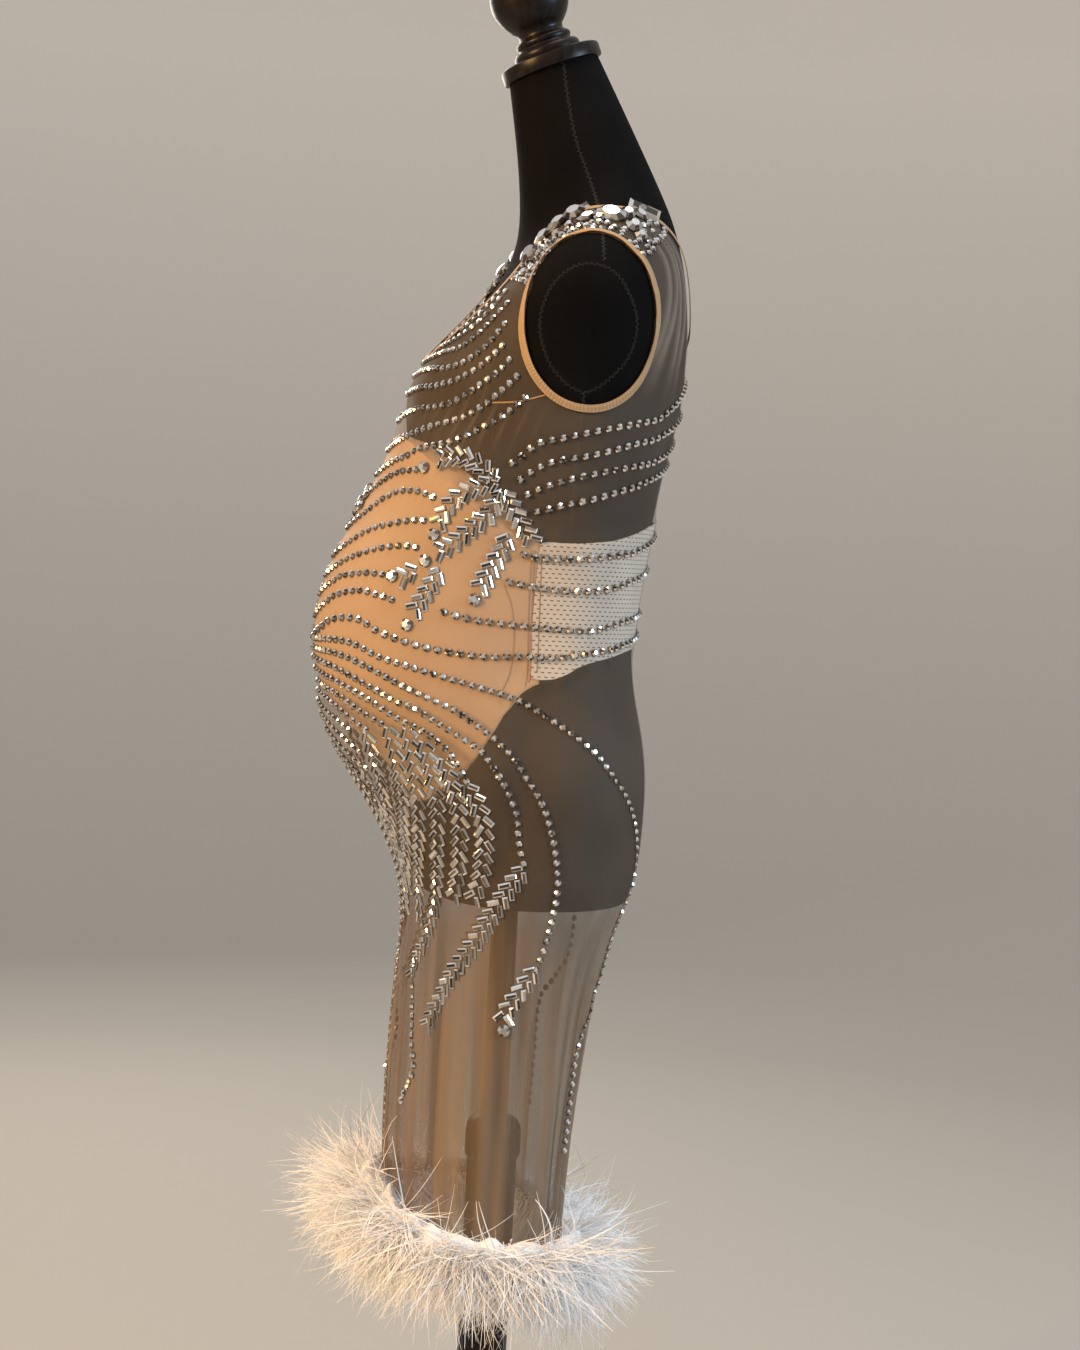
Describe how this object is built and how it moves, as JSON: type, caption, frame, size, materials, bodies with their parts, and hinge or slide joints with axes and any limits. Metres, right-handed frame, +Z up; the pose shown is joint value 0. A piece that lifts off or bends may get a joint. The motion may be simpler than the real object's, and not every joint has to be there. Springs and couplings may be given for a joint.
{
  "type": "beaded gown on a padded dress form with its stand",
  "caption": "Sleeveless sheer mesh evening gown set with stones, with a feather hem, worn by a limbless padded dress form on a pole stand.",
  "frame": {"origin": "centre of the stand's underside, on the floor under the post", "axes": "+Z up along the post, -Y towards the gown's front, +X towards the wearer's left side"},
  "size_m": [0.4121, 0.372, 1.5832],
  "materials": {
    "mesh_cloth": "sheer stretch mesh, nude",
    "binding": "folded stretch band, nude",
    "crystal": "cut glass with a silver back",
    "feather": "off-white feather barbs",
    "form_cloth": "matt black jersey",
    "pad_cloth": "nude stretch fabric",
    "black_wood": "black satin lacquer",
    "black_metal": "black paint"
  },
  "bodies": {
    "root": {"gown_front": "mesh_cloth", "gown_back": "mesh_cloth", "armhole_binding_left": "binding", "armhole_binding_right": "binding", "neckline_binding": "binding", "jewelled_shoulder_left": "crystal", "jewelled_shoulder_right": "crystal", "feather_trim": "feather", "form_torso": "form_cloth", "belly_pad": "pad_cloth", "pad_waistband": "pad_cloth", "neck_cap": "black_wood", "neck_finial": "black_wood", "stand_pole": "black_metal", "stand_post": "black_wood", "stand_base": "black_wood"}
  },
  "joints": []
}
